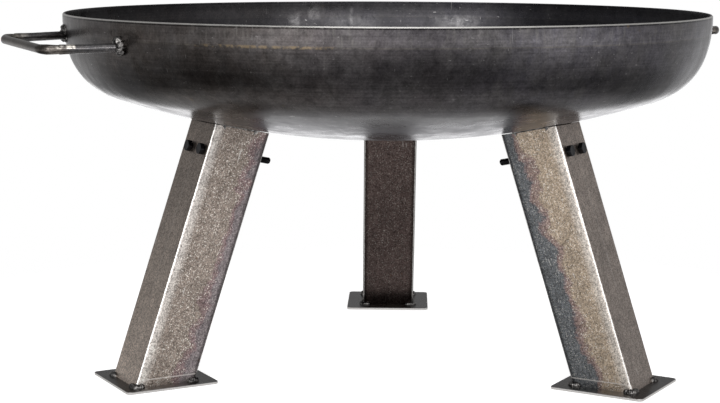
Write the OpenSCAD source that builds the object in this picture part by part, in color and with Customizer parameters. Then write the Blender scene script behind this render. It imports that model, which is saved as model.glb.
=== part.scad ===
// Fire bowl on three splayed legs: a pressed steel dish with two rod handles.
// Each leg is a square tube on a welded foot plate. It slips over a socket that is
// welded under the bowl, and two hex bolts hold it there.
// Units are millimetres. The origin is on the ground under the bowl's axis, +Z is up,
// and the back leg points along +Y.

/* [Bowl] */
// Outside diameter at the rim
bowl_d = 800; // [760:1:840]
// Thickness of the pressed sheet
sheet_t = 3; // [2:0.5:4]
// Height of the rim above the ground
rim_z = 435; // [410:1:470]
// Height of the straight flange under the rim
flange_h = 5; // [2:1:15]
// Outside radius of the shoulder arc under the flange
shoulder_r = 142; // [120:1:160]
// Outside radius of the knuckle arc between shoulder and crown
knuckle_r = 79; // [65:1:95]
// Angle that the shoulder turns, and that the crown spans from the axis
crown_angle = 18.3; // [16:0.1:21]
// Height of the ground bevel on the rim's outer edge
bevel_h = 1.9; // [1:0.1:4]
// Width of that bevel
bevel_w = 1.2; // [0.4:0.1:1.8]

/* [Handles] */
// Diameter of the bent rod
rod_d = 10; // [8:0.5:12]
// Distance between the arms where their lines meet the grip
grip_w = 156; // [130:1:180]
// Angle by which each arm spreads towards the bowl
arm_splay = 8.5; // [0:0.5:12]
// Distance from the rim's outside to the grip's centreline
handle_reach = 70; // [50:1:90]
// Bend radius of the rod's centreline
bend_r = 20; // [14:1:30]
// Depth of the handles below the rim
handle_drop = 27.8; // [20:0.1:40]
// Directions that the left and right handles point in
handle_azimuth = [210, 30]; // [0:1:359]
// Tilt of each handle about its own outward axis
handle_tilt = [-1.7, 0]; // [-3:0.1:3]
// Angle by which the handles droop towards the grip
handle_droop = 1; // [0:0.1:2]

/* [Legs] */
// Width of the square tube
leg_w = 72.5; // [66:0.5:75]
// Wall thickness of the tube
leg_t = 3; // [2:0.5:4]
// Outside radius of the tube's corners
leg_corner_r = 4; // [3:0.5:8]
// Radius from the bowl's axis at which the legs stand on the ground
foot_r = 318.5; // [290:0.5:330]
// Radius at which the legs meet the bowl
seat_r = 215; // [200:1:225]
// Clearance between a leg's top and the bowl
seat_gap = 0.7; // [0.3:0.1:2]
// Directions of the back, left and right legs
leg_azimuth = [90, 210, 330]; // [0:1:359]
// Angles by which the legs are twisted about their own axes
leg_twist = [0.4, 0.6, 1.5]; // [-2:0.1:2]
// Angles round the bowl by which the legs' tops lie beside those directions
seat_turn = [-1, 0, 0]; // [-1.5:0.1:1.5]

/* [Feet] */
// Side of the square foot plates
plate_w = 116; // [100:1:130]
// Thickness of the foot plates
plate_t = 3; // [3:0.5:6]
// Corner radius of the foot plates
plate_corner_r = 6; // [2:0.5:12]
// Radii from the bowl's axis to the plates' centres
plate_r = [312, 313.5, 317.5]; // [290:0.5:330]
// Sideways shifts of the plates, as welded
plate_side = [0, -5, 0.5]; // [-8:0.5:8]
// Angles by which the plates are turned, as welded
plate_turn = [0, 0.5, 1]; // [-3:0.5:3]
// Size of the tack welds at a leg's corners
tack_r = 4.5; // [3:0.5:5]

/* [Sockets] */
// Width of the rectangular socket tube, along the ground
socket_w = 60; // [56:1:62]
// Depth of the socket tube, away from the bowl's axis
socket_d = 40; // [36:1:44]
// Wall thickness of the socket tube
socket_t = 3; // [2:0.5:4]
// Length of the socket tube
socket_len = 60; // [50:1:64]
// Sideways shifts of the sockets inside the legs
socket_shift = [0, 3, -3]; // [-3:0.5:3]
// Angle by which the socket leans inward from square to the bowl
socket_lean = 1.1; // [0:0.1:2]
// Leg length of the fillet weld round a socket
fillet_w = 4; // [3:0.5:4.5]

/* [Bolts] */
// Thread diameter
bolt_d = 8; // [8:1:8]
// Width across the flats of head and nut
hex_af = 13; // [13:1:13]
// Height of the head
head_h = 5.3; // [5:0.1:6]
// Thickness of the weld nuts
nut_h = 6.5; // [6:0.1:7]
// Distances between the two bolts in the back, left and right legs
bolt_gap = [36, 36, 35]; // [32:1:36]
// Shifts of those bolt pairs from the leg's middle, as drilled
bolt_shift = [0, 5, -5.5]; // [-5.5:0.5:5.5]
// Depth of the bolts below the bowl, square to its surface
bolt_drop = 32; // [26:1:36]
// Lengths of the bolts in the back, left and right legs
bolt_len = [60, 90, 90]; // [60:5:90]
// Diameter of the bolt holes
hole_d = 9; // [8.5:0.1:10]

/* [Hidden] */
LEG_NAMES = ["back", "left", "right"];
HANDLE_NAMES = ["left", "right"];
PAIR_NAMES = ["a", "b"];
LEG_PARTS = ["leg", "foot_plate", "foot_welds", "socket", "socket_weld"];

// The bowl's section: three arcs in a row, each tangent to the next.
bowl_r = bowl_d / 2;
arc_ends = [0, -crown_angle, crown_angle - 90, -90];
shoulder_c = [bowl_r - shoulder_r, rim_z - flange_h];
knuckle_c = shoulder_c + (shoulder_r - knuckle_r) * heading(arc_ends[1]);
crown_r = knuckle_r + knuckle_c.x / sin(crown_angle);
crown_c = knuckle_c - (crown_r - knuckle_r) * heading(arc_ends[2]);
arc_centres = [shoulder_c, knuckle_c, crown_c];
arc_radii = [shoulder_r, knuckle_r, crown_r];
arc_steps = [5, 11, 10];

// The seat is where a leg's axis meets the bowl. Its normal is the bowl's own.
seat_angle = asin(seat_r / crown_r);
seat_z = crown_c.y - crown_r * cos(seat_angle);
leg_tilt = atan2(foot_r - seat_r, seat_z);
socket_angle = seat_angle + socket_lean;
lean = leg_tilt - socket_angle;
leg_axis_len = norm([foot_r - seat_r, seat_z]);
socket_x = bolt_drop * tan(lean);

// The bolts lie square to the socket, so a head bears on the leg at its lower corner.
hex_r = hex_af / 2 / cos(30);
head_x = (leg_w / 2 + (bolt_drop + hex_r) * sin(lean)) / cos(lean);
nut_x = socket_x - socket_d / 2 + socket_t;
nut_clearance = 0.2;
chamfer_angle = 30;

// An arm's line, y = arm_at_axis - x * tan(arm_splay), and where it meets the rim's circle.
grip_r = bowl_r + handle_reach;
arm_slope = tan(arm_splay);
arm_at_axis = grip_w / 2 + grip_r * arm_slope;
arm_root = arm_at_axis ^ 2 * arm_slope ^ 2 - (1 + arm_slope ^ 2) * (arm_at_axis ^ 2 - bowl_r ^ 2);
arm_wall_x = (arm_at_axis * arm_slope + sqrt(arm_root)) / (1 + arm_slope ^ 2);
arm_wall_y = arm_at_axis - arm_wall_x * arm_slope;
bend_angle = 90 - arm_splay;
grip_straight = grip_w / 2 - bend_r * tan(bend_angle / 2);
arm_len = handle_reach + 10;

// The rod's stations, each with its place in the handle's plane and its direction's turn from +Y.
bend_steps = 8;
rod_sides = 24;
half_rod = concat(
    [for (i = [0:bend_steps]) bend_station(bend_angle * i / bend_steps)],
    [bend_station(bend_angle) + arm_len * [-sin(bend_angle), cos(bend_angle), 0]]
);
rod_stations = concat([for (s = reversed(half_rod)) [s.x, -s.y, -s.z]], half_rod);

// The two weld beads at an arm's end, each with both its ends as [outward, sideways, up].
arm_beads = [[[-1.5, -5, 7], [-1, 0, 7.5]], [[-1, 5, 1], [-1, 4, -1.5]]];
arm_bead_r = 5;

// Where a tack bead starts and ends, from the leg's corner inward.
tack_span = [1, 7];

// The section of the fillet round a socket: its face slopes, and its back runs on into the parts.
fillet_section = [[-1, fillet_w], [0, fillet_w], [fillet_w, 0], [fillet_w, -2], [-1, -2]];

block = 400;
fine = 96;
bead_fn = 20;

function heading(a) = [cos(a), sin(a)];

function bend_station(a) = [grip_r - bend_r + bend_r * cos(a), grip_straight + bend_r * sin(a), a];

// A point on the rod's surface, at an angle round its section.
function rod_point(s, angle) =
    let (out = rod_d / 2 * cos(angle))
    [s.x + out * cos(s.z), s.y + out * sin(s.z), rod_d / 2 * sin(angle)];

// One arc of the bowl's section, set in from the outside by inset.
function bowl_arc(k, inset) = [
    for (i = [0:arc_steps[k]])
    let (a = arc_ends[k] + (arc_ends[k + 1] - arc_ends[k]) * i / arc_steps[k])
    arc_centres[k] + (arc_radii[k] - inset) * heading(a)
];

// The whole section from under the flange to the axis. Neighbouring arcs share their end points.
function bowl_side(inset) = concat(
    bowl_arc(0, inset),
    [for (k = [1, 2], i = [1:arc_steps[k]]) bowl_arc(k, inset)[i]]
);

function reversed(list) = [for (i = [len(list) - 1:-1:0]) list[i]];

// Everything inside the bowl's outer surface, up to the rim.
module bowl_envelope() {
    rotate_extrude($fn = 2 * fine)
        polygon(concat([[0, rim_z], [bowl_r, rim_z]], bowl_side(0)));
}

module rounded_square(size, r) {
    square([size.x - 2 * r, size.y], center = true);
    square([size.x, size.y - 2 * r], center = true);
    for (x = [-1, 1], y = [-1, 1])
        translate([x * (size.x / 2 - r), y * (size.y / 2 - r)]) circle(r = r, $fn = fine);
}

module tube_section(size, wall, r) {
    difference() {
        rounded_square(size, r);
        rounded_square(size - 2 * [wall, wall], r - wall / 2);
    }
}

// Places a child drawn round the leg's own axis, with its origin on the ground.
module along_leg(i) {
    rotate([0, 0, leg_azimuth[i]])
        translate([foot_r, 0, 0])
            rotate([0, -leg_tilt, 0])
                rotate([-leg_sway(i), 0, 0])
                    rotate([0, 0, leg_twist[i]])
                        children();
}

// Places a child at the seat: X runs outward, Z points up and inward, turned from upright by angle.
module at_seat(i, angle) {
    rotate([0, 0, leg_azimuth[i] + seat_turn[i]])
        translate([seat_r, 0, seat_z])
            rotate([0, -angle, 0])
                rotate([0, 0, leg_twist[i] - seat_turn[i]])
                    children();
}

// How far a leg leans sideways, so that its axis meets the bowl at the turned seat.
function leg_sway(i) = atan2(seat_r * sin(seat_turn[i]), leg_axis_len);

// A cylinder along the bolts' direction, from x = from inward by length.
module bolt_cylinder(from, length, r, i, k) {
    translate([from, bolt_side(i, k), -bolt_drop])
        rotate([0, -90, 0])
            cylinder(r = r, h = length, $fn = fine);
}

function bolt_side(i, k) = bolt_shift[i] + (k - 0.5) * bolt_gap[i];

// A hexagon with a corner above and one below, along the bolts' direction.
module bolt_hex(from, length, i, k) {
    translate([from, bolt_side(i, k), -bolt_drop])
        rotate([0, 90, 0])
            cylinder(r = hex_r, h = length, $fn = 6);
}

// The leg as a full bar, from the foot plate up to the seat's plane.
module leg_bar(i) {
    difference() {
        along_leg(i)
            linear_extrude(height = leg_axis_len + leg_w)
                rounded_square([leg_w, leg_w], leg_corner_r);
        leg_trim(i);
    }
}

// What a leg's two end cuts take away.
module leg_trim(i) {
    translate([-block, -block, plate_t - block]) cube([2 * block, 2 * block, block]);
    at_seat(i, seat_angle) translate([-block / 2, -block / 2, -seat_gap]) cube(block);
}

module bowl() {
    color([0.27, 0.26, 0.26])
        rotate_extrude($fn = 2 * fine)
            polygon(concat(
                [[bowl_r - sheet_t, rim_z], [bowl_r - bevel_w, rim_z], [bowl_r, rim_z - bevel_h]],
                bowl_side(0),
                reversed(bowl_side(sheet_t))
            ));
}

// Places a child in a handle's own frame: X points outward from the bowl's axis.
module at_handle(h) {
    rotate([0, 0, handle_azimuth[h]])
        translate([0, 0, rim_z - handle_drop])
            rotate([handle_tilt[h], 0, 0])
                translate([bowl_r, 0, 0])
                    rotate([0, handle_droop, 0])
                        translate([-bowl_r, 0, 0])
                            children();
}

// The bent rod, with arms that run on into the bowl, swept along its stations.
module handle_rod() {
    count = len(rod_stations);
    points = [for (s = rod_stations, k = [0:rod_sides - 1]) rod_point(s, 360 * k / rod_sides)];
    sides = [
        for (j = [0:count - 2], k = [0:rod_sides - 1])
        let (next = (k + 1) % rod_sides)
        [for (q = [[j, k], [j, next], [j + 1, next], [j + 1, k]]) q.x * rod_sides + q.y]
    ];
    caps = [[for (k = [rod_sides - 1:-1:0]) k], [for (k = [0:rod_sides - 1]) (count - 1) * rod_sides + k]];
    polyhedron(points, concat(sides, caps));
}

module handle(h) {
    color([0.42, 0.40, 0.38])
        difference() {
            at_handle(h) handle_rod();
            bowl_envelope();
        }
}

module handle_welds(h) {
    color([0.50, 0.49, 0.48])
        difference() {
            at_handle(h)
                for (side = [0, 1])
                    mirror([0, side, 0])
                        translate([arm_wall_x, arm_wall_y, 0])
                            for (bead = arm_beads)
                                hull()
                                    for (end = bead)
                                        translate(end) sphere(r = arm_bead_r, $fn = bead_fn);
            at_handle(h) handle_rod();
            bowl_envelope();
        }
}

module leg(i) {
    color([0.46, 0.43, 0.40])
        difference() {
            along_leg(i)
                linear_extrude(height = leg_axis_len + leg_w)
                    tube_section([leg_w, leg_w], leg_t, leg_corner_r);
            leg_trim(i);
            at_seat(i, socket_angle)
                for (k = [0, 1])
                    bolt_cylinder(leg_w, bolt_len[i] + leg_w - head_x, hole_d / 2, i, k);
        }
}

module foot_plate(i) {
    color([0.48, 0.47, 0.46])
        rotate([0, 0, leg_azimuth[i]])
            translate([plate_r[i], plate_side[i], 0])
                rotate([0, 0, plate_turn[i]])
                    linear_extrude(height = plate_t)
                        rounded_square([plate_w, plate_w], plate_corner_r);
}

// Tack welds: at each corner of the leg, one short bead along each side.
module foot_welds(i) {
    half = [leg_w / 2 / cos(leg_tilt), leg_w / 2];
    foot_x = foot_r - plate_t * tan(leg_tilt);
    color([0.40, 0.38, 0.36])
        difference() {
            rotate([0, 0, leg_azimuth[i]])
                translate([foot_x, 0, plate_t])
                    rotate([0, 0, leg_twist[i]])
                        for (x = [-1, 1], y = [-1, 1], along = [[1, 0], [0, 1]])
                            translate([x * half.x, y * half.y, 0])
                                hull()
                                    for (end = tack_span)
                                        translate([-x * end * along.x, -y * end * along.y, 0])
                                            sphere(r = tack_r, $fn = bead_fn);
            leg_bar(i);
            translate([-block, -block, plate_t - block]) cube([2 * block, 2 * block, block]);
        }
}

module socket(i) {
    color([0.35, 0.34, 0.33])
        difference() {
            at_seat(i, socket_angle)
                translate([socket_x, socket_shift[i], -socket_len])
                    linear_extrude(height = socket_len + sheet_t)
                        tube_section([socket_d, socket_w], socket_t, socket_t + 1);
            bowl_envelope();
            at_seat(i, socket_angle)
                for (k = [0, 1])
                    bolt_cylinder(leg_w, 2 * leg_w, hole_d / 2, i, k);
        }
}

// A fillet bead round the top of a socket, made of four straight runs.
module socket_weld(i) {
    size = [socket_d, socket_w];
    color([0.40, 0.38, 0.36])
        difference() {
            at_seat(i, socket_angle)
                translate([socket_x, socket_shift[i], 0])
                    for (turn = [0:3]) {
                        across = turn % 2 == 0 ? size : [size.y, size.x];
                        rotate([0, 0, 90 * turn])
                            translate([across.x / 2, -across.y / 2 - fillet_w, 0])
                                rotate([-90, 0, 0])
                                    linear_extrude(height = across.y + 2 * fillet_w)
                                        polygon(fillet_section);
                    }
            bowl_envelope();
            at_seat(i, socket_angle)
                translate([socket_x, socket_shift[i], -socket_len])
                    linear_extrude(height = 2 * socket_len)
                        rounded_square(size, socket_t + 1);
        }
}

module bolt(i, k) {
    chamfer_r = hex_af / 2;
    color([0.06, 0.06, 0.06])
        at_seat(i, socket_angle) {
            intersection() {
                bolt_hex(head_x, head_h, i, k);
                translate([head_x + head_h, bolt_side(i, k), -bolt_drop])
                    rotate([0, -90, 0])
                        cylinder(
                            r1 = chamfer_r,
                            r2 = chamfer_r + head_h / tan(chamfer_angle),
                            h = head_h,
                            $fn = fine
                        );
            }
            bolt_cylinder(head_x, bolt_len[i], bolt_d / 2, i, k);
        }
}

module nut(i, k) {
    color([0.20, 0.20, 0.20])
        at_seat(i, socket_angle)
            difference() {
                bolt_hex(nut_x, nut_h, i, k);
                bolt_cylinder(head_x, 2 * leg_w, (bolt_d + nut_clearance) / 2, i, k);
            }
}

bowl();
for (h = [0, 1]) {
    handle(h);
    handle_welds(h);
}
for (i = [0:2]) {
    leg(i);
    foot_plate(i);
    foot_welds(i);
    socket(i);
    socket_weld(i);
    for (k = [0, 1]) {
        bolt(i, k);
        nut(i, k);
    }
}
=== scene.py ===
import math

import bmesh
import bpy
import numpy as np
from mathutils import Matrix, Vector, noise


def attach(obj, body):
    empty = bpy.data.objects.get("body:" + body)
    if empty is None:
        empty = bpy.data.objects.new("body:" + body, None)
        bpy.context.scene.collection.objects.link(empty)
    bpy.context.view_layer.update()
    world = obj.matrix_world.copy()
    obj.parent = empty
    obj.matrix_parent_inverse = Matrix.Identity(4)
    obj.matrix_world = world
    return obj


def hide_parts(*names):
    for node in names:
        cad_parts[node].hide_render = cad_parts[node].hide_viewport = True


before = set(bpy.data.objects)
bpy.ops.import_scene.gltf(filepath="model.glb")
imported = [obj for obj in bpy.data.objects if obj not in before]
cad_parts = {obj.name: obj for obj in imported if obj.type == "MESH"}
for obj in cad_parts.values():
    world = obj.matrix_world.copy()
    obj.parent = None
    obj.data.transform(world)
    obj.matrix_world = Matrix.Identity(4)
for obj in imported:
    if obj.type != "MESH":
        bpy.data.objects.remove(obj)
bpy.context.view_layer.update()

# ---------------------------------------------------------------- sizes, in metres, as in the CAD
BOWL_R = 0.400
SHEET_T = 0.003
RIM_Z = 0.435
FLANGE_H = 0.005
SHOULDER_R = 0.142
KNUCKLE_R = 0.079
CROWN_ANGLE = math.radians(18.3)
BEVEL_H = 0.0014  # 0.5 mm lower than the CAD's chamfer, because the bright line is this thin
BEVEL_W = 0.0012
ROD_R = 0.005
GRIP_W = 0.156
ARM_SPLAY = math.radians(8.5)
HANDLE_REACH = 0.070
BEND_R = 0.020
HANDLE_DROP = 0.0278
HANDLES = {"left": (210, -1.7), "right": (30, 0.0)}
HANDLE_DROOP = 1.0
WALL_END_R = 0.3970
LEG_W = 0.0725
LEG_T = 0.003
LEG_CORNER_R = 0.004
FOOT_R = 0.3185
SEAT_R = 0.215
SEAT_GAP = 0.0007
LEGS = {"back": 90, "left": 210, "right": 330}
LEG_TWIST = {"back": 0.4, "left": 0.6, "right": 1.5}
SEAT_TURN = {"back": -1.0, "left": 0.0, "right": 0.0}
PLATE_W = 0.116
PLATE_T = 0.003
PLATE_CORNER_R = 0.006
PLATE_R = {"back": 0.312, "left": 0.3135, "right": 0.3175}
PLATE_SIDE = {"back": 0.0, "left": -0.005, "right": 0.0005}
PLATE_TURN = {"back": 0.0, "left": 0.5, "right": 1.0}
SOCKET_LEAN = math.radians(1.1)
BOLT_R = 0.004
HEX_AF = 0.013
HEAD_H = 0.0053
BOLT_GAP = {"back": 0.036, "left": 0.036, "right": 0.035}
BOLT_SHIFT = {"back": 0.0, "left": 0.005, "right": -0.0055}
BOLT_LEN = {"back": 0.060, "left": 0.090, "right": 0.090}
BOLT_DROP = 0.032
HOLE_R = 0.0045
TOP_GAP = 0.0010  # the leg's top is raised until it is this close under the bowl

# ---------------------------------------------------------------- details that only the visual has
BOWL_SEGMENTS = 384
BAND_LOW, BAND_HIGH = 0.4128, 0.4142  # the turned line below the band under the rim
WASHER_R, WASHER_EDGE_R, WASHER_H = 0.0058, 0.0060, 0.0004  # the raised face under a bolt's head
THREAD_L, THREAD_PITCH, THREAD_DEPTH = 0.022, 0.00125, 0.00068
BOLT_TIP = 0.0012


def heading(a):
    return np.array([math.cos(a), math.sin(a)])


shoulder_c = np.array([BOWL_R - SHOULDER_R, RIM_Z - FLANGE_H])
knuckle_c = shoulder_c + (SHOULDER_R - KNUCKLE_R) * heading(-CROWN_ANGLE)
crown_r = KNUCKLE_R + knuckle_c[0] / math.sin(CROWN_ANGLE)
crown_c = knuckle_c - (crown_r - KNUCKLE_R) * heading(CROWN_ANGLE - math.pi / 2)
seat_angle = math.asin(SEAT_R / crown_r)
seat_z = crown_c[1] - crown_r * math.cos(seat_angle)
leg_tilt = math.atan2(FOOT_R - SEAT_R, seat_z)
socket_angle = seat_angle + SOCKET_LEAN
lean = leg_tilt - socket_angle
hex_r = HEX_AF / 2 / math.cos(math.radians(30))
head_x = (LEG_W / 2 + (BOLT_DROP + hex_r) * math.sin(lean)) / math.cos(lean)


# ---------------------------------------------------------------- shader helper
class Nodes:
    """Short calls that build a node tree. place is the vector that its textures are laid on."""

    def __init__(self, tree):
        self.tree = tree
        self.tree.nodes.clear()
        self.place = None

    def new(self, kind, **settings):
        node = self.tree.nodes.new(kind)
        for key, value in settings.items():
            setattr(node, key, value)
        return node

    def put(self, socket, value):
        if isinstance(value, bpy.types.NodeSocket):
            self.tree.links.new(value, socket)
        else:
            if socket.type == "VECTOR":
                value = value[:3]
            if socket.type == "RGBA" and len(value) == 3:
                value = (*value, 1.0)
            socket.default_value = value

    def stretched(self, scale):
        node = self.new("ShaderNodeMapping")
        self.put(node.inputs["Vector"], self.place)
        node.inputs["Scale"].default_value = scale
        return node.outputs[0]

    def axis(self, index, source=None):
        node = self.new("ShaderNodeSeparateXYZ")
        self.put(node.inputs[0], source or self.place)
        return node.outputs[index]

    def noise(self, scale, detail=3.0, rough=0.5, stretch=None, distortion=0.0, seed=0.0):
        node = self.new("ShaderNodeTexNoise", noise_dimensions="4D")
        self.put(node.inputs["Vector"], self.stretched(stretch) if stretch else self.place)
        node.inputs["W"].default_value = seed
        node.inputs["Scale"].default_value = scale
        node.inputs["Detail"].default_value = detail
        node.inputs["Roughness"].default_value = rough
        node.inputs["Distortion"].default_value = distortion
        return node.outputs["Fac"]

    def cells(self, scale, seed=0.0):
        node = self.new("ShaderNodeTexVoronoi", voronoi_dimensions="4D")
        self.put(node.inputs["Vector"], self.place)
        node.inputs["W"].default_value = seed
        node.inputs["Scale"].default_value = scale
        return node.outputs["Distance"]

    def math(self, op, a, b=0.0):
        node = self.new("ShaderNodeMath", operation=op)
        self.put(node.inputs[0], a)
        self.put(node.inputs[1], b)
        return node.outputs[0]

    def span(self, value, low, high, to_low=0.0, to_high=1.0, smooth=False):
        node = self.new("ShaderNodeMapRange", clamp=True)
        if smooth:
            node.interpolation_type = "SMOOTHSTEP"
        self.put(node.inputs["Value"], value)
        node.inputs["From Min"].default_value = low
        node.inputs["From Max"].default_value = high
        node.inputs["To Min"].default_value = to_low
        node.inputs["To Max"].default_value = to_high
        return node.outputs[0]

    def mix(self, factor, a, b):
        node = self.new("ShaderNodeMix", data_type="RGBA")
        self.put(node.inputs[0], factor)
        self.put(node.inputs[6], a)
        self.put(node.inputs[7], b)
        return node.outputs[2]

    def scale(self, colour, factor):
        node = self.new("ShaderNodeVectorMath", operation="SCALE")
        self.put(node.inputs[0], colour)
        self.put(node.inputs["Scale"], factor)
        return node.outputs[0]

    def product(self, *factors):
        value = factors[0]
        for factor in factors[1:]:
            value = self.math("MULTIPLY", value, factor)
        return value

    def between(self, value, low, high, soft):
        """1 between low and high, fading to 0 over soft outside them."""
        rise, fall = self.span(value, low - soft, low), self.span(value, high, high + soft, 1, 0)
        return self.math("MULTIPLY", rise, fall)

    def blend(self, factor, a, b):
        node = self.new("ShaderNodeMix", data_type="FLOAT")
        self.put(node.inputs[0], factor)
        self.put(node.inputs[2], a)
        self.put(node.inputs[3], b)
        return node.outputs[0]

    def bump(self, height, distance, strength=1.0, normal=None):
        node = self.new("ShaderNodeBump")
        node.inputs["Strength"].default_value = strength
        node.inputs["Distance"].default_value = distance
        self.put(node.inputs["Height"], height)
        if normal is not None:
            self.put(node.inputs["Normal"], normal)
        return node.outputs[0]


class Shader(Nodes):
    """A Principled material. Its textures lie on the piece's own frame, kept as "place";
    a part carried over from the CAD has no such attribute and takes its object coordinates."""

    def __init__(self, name, metallic=1.0, carried=False):
        self.mat = bpy.data.materials.new(name)
        self.mat.use_nodes = True
        super().__init__(self.mat.node_tree)
        out = self.new("ShaderNodeOutputMaterial")
        self.bsdf = self.new("ShaderNodeBsdfPrincipled")
        self.tree.links.new(self.bsdf.outputs[0], out.inputs[0])
        self.bsdf.inputs["Metallic"].default_value = metallic
        if carried:
            self.place = self.new("ShaderNodeTexCoord").outputs["Object"]
        else:
            self.place = self.new("ShaderNodeAttribute", attribute_name="place").outputs["Vector"]

    def set(self, **values):
        for key, value in values.items():
            self.put(self.bsdf.inputs[key.replace("_", " ").title()], value)


# ---------------------------------------------------------------- materials
# smudges inside the back wall: left, right, bottom, top (metres) and strength
SMUDGES = [
    (-0.144, -0.136, 0.404, 0.414, 0.34),
    (-0.116, -0.108, 0.415, 0.424, 0.26),
    (-0.075, -0.034, 0.396, 0.410, 0.14),
    (-0.058, -0.0568, 0.402, 0.422, 0.30),
    (0.080, 0.115, 0.390, 0.410, 0.32),
]


def bowl_material(name, inside):
    s = Shader(name)
    x, y, z = s.axis(0), s.axis(1), s.axis(2)
    broad = s.noise(5.0, detail=4, rough=0.6, seed=1)
    patch = s.noise(17.0, detail=6, rough=0.65, seed=2)
    mottle = s.noise(75.0, detail=5, rough=0.7, distortion=0.6, seed=7)
    grain = s.noise(420.0, detail=3, rough=0.6, seed=3)
    streak = s.noise(1.0, detail=5, rough=0.65, stretch=(46, 46, 3.0), seed=4)
    turned = s.noise(1.0, detail=4, rough=0.7, stretch=(3, 3, 420), seed=8)
    colour = s.mix(s.span(broad, 0.38, 0.62, smooth=True), (0.050, 0.044, 0.041), (0.044, 0.043, 0.047))
    # warmer on one side and cooler on the other, as the sheet was heated
    warm = s.mix(0.5, colour, (0.062, 0.052, 0.046))
    cool = s.mix(0.65, colour, (0.052, 0.050, 0.062))
    colour = s.mix(s.span(x, -0.20, 0.25), warm, cool)
    colour = s.mix(s.span(patch, 0.42, 0.70), colour, (0.066, 0.062, 0.062))
    colour = s.mix(s.span(streak, 0.50, 0.72, 0, 0.55), colour, (0.085, 0.080, 0.078))
    colour = s.scale(colour, s.span(mottle, 0.32, 0.68, 0.68, 1.48))
    colour = s.scale(colour, s.span(turned, 0.35, 0.65, 0.84, 1.22))
    colour = s.scale(colour, s.span(grain, 0.30, 0.70, 0.80, 1.34))
    # the band under the rim is a little lighter, partly its own finish and partly a painted reflection on its
    # flared face, down to a faint turned line
    colour = s.scale(colour, s.span(z, BAND_LOW, BAND_HIGH, 1.0, 1.50))
    line = s.between(z, 0.4122, 0.4132, 0.0005)
    line = s.math("MULTIPLY", line, s.span(mottle, 0.40, 0.62, 0.05, 0.32))
    colour = s.mix(line, colour, (0.22, 0.20, 0.17))
    # a dark line right under the ground edge: painted shade under the edge
    under_edge_shade = s.between(z, RIM_Z - BEVEL_H - 0.0016, RIM_Z - BEVEL_H - 0.0002, 0.0004)
    colour = s.scale(colour, s.span(under_edge_shade, 0, 1, 1.0, 0.30))
    if not inside:
        # the band's own streaks and an ochre bloom on its lower edge
        front = s.span(y, 0.0, -0.01)
        fine = s.span(s.noise(1.0, detail=3, rough=0.6, stretch=(240, 240, 50), seed=13), 0.52, 0.68)
        colour = s.mix(s.product(fine, s.span(z, BAND_LOW, BAND_HIGH), 0.30), colour, (0.20, 0.19, 0.175))
        bloom = s.product(s.between(x, -0.18, -0.07, 0.03), s.between(z, 0.4118, 0.4136, 0.0012), front)
        bloom = s.product(bloom, s.span(s.noise(170.0, detail=3, seed=14), 0.44, 0.56), 0.42)
        colour = s.mix(bloom, colour, (0.34, 0.25, 0.14))
    else:
        # darker, with rubbed and smudged places on the back wall
        colour = s.scale(s.mix(0.5, colour, (0.054, 0.055, 0.064)), 0.68)
        for left, right, bottom, top, amount in SMUDGES:
            across = s.between(x, left, right, 0.002 + 0.5 * (right - left))
            spot = s.product(across, s.between(z, bottom, top, 0.007), s.span(y, 0.0, 0.01))
            spot = s.product(spot, s.span(mottle, 0.38, 0.62, 0.1, 1.0), amount)
            colour = s.mix(spot, colour, (0.34, 0.33, 0.33))
    # the turn towards the base is bluer and lighter: a heat tint, and partly a painted reflection along the
    # bottom edge
    low = s.span(z, 0.345, 0.315)
    colour = s.mix(s.math("MULTIPLY", low, 0.55), colour, (0.105, 0.100, 0.130))
    # ochre bloom, small bright flecks and fine scratches
    ochre = s.span(s.cells(58.0, seed=9), 0.20, 0.06)
    ochre = s.math("MULTIPLY", ochre, s.span(s.noise(9.0, detail=3, seed=10), 0.56, 0.66))
    colour = s.mix(s.math("MULTIPLY", ochre, 0.55), colour, (0.20, 0.14, 0.075))
    flecks = s.span(s.noise(1.0, detail=3, rough=0.6, stretch=(150, 150, 520), seed=5), 0.66, 0.72)
    flecks = s.math("MULTIPLY", flecks, s.span(patch, 0.45, 0.6))
    colour = s.mix(s.math("MULTIPLY", flecks, 0.8), colour, (0.55, 0.53, 0.52))
    scratch = s.span(s.noise(1.0, detail=2, rough=0.5, stretch=(480, 480, 14), seed=12), 0.71, 0.75)
    colour = s.mix(s.math("MULTIPLY", scratch, 0.5), colour, (0.40, 0.39, 0.38))
    rough = s.blend(s.span(patch, 0.35, 0.65), 0.22, 0.34)
    rough = s.math("ADD", rough, s.span(streak, 0.4, 0.7, -0.03, 0.06))
    s.set(base_color=colour, roughness=rough)
    relief = s.bump(s.noise(60.0, detail=3, rough=0.5, seed=6), 0.0012, 0.18)
    relief = s.bump(turned, 0.0003, 0.12, relief)
    s.set(normal=s.bump(grain, 0.0003, 0.12, relief))
    return s.mat


def rim_material():
    s = Shader("rim_ground")
    lines = s.noise(1.0, detail=3, rough=0.6, stretch=(60, 60, 2500), seed=1)
    s.set(base_color=s.mix(lines, (0.62, 0.60, 0.57), (0.95, 0.93, 0.89)))
    s.set(roughness=s.span(lines, 0.3, 0.7, 0.22, 0.42), normal=s.bump(lines, 0.0002, 0.3))
    return s.mat


# each leg's own colours, holding painted light and shade (the faces and the back leg are toned by how light
# falls):
# outer face, side faces, inner face and mill-scale strip, and how far (metres) the strip's border is moved
# towards the outer face
LEG_SHADED_TONES = {
    "back": ((0.16, 0.145, 0.13), (0.16, 0.14, 0.13), (0.084, 0.061, 0.056), (0.10, 0.09, 0.09), -0.030),
    "left": ((0.42, 0.354, 0.304), (0.250, 0.207, 0.177), (0.16, 0.14, 0.13), (0.20, 0.175, 0.185), -0.012),
    "right": ((0.385, 0.326, 0.287), (0.385, 0.308, 0.232), (0.16, 0.14, 0.13), (0.082, 0.103, 0.124), 0.0),
}
# painted light and shade: how each leg's brightness runs from foot to top
LEG_LIGHT_FALL = {"back": (0.85, 1.10), "left": (1.34, 0.82), "right": (0.95, 1.08)}


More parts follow.
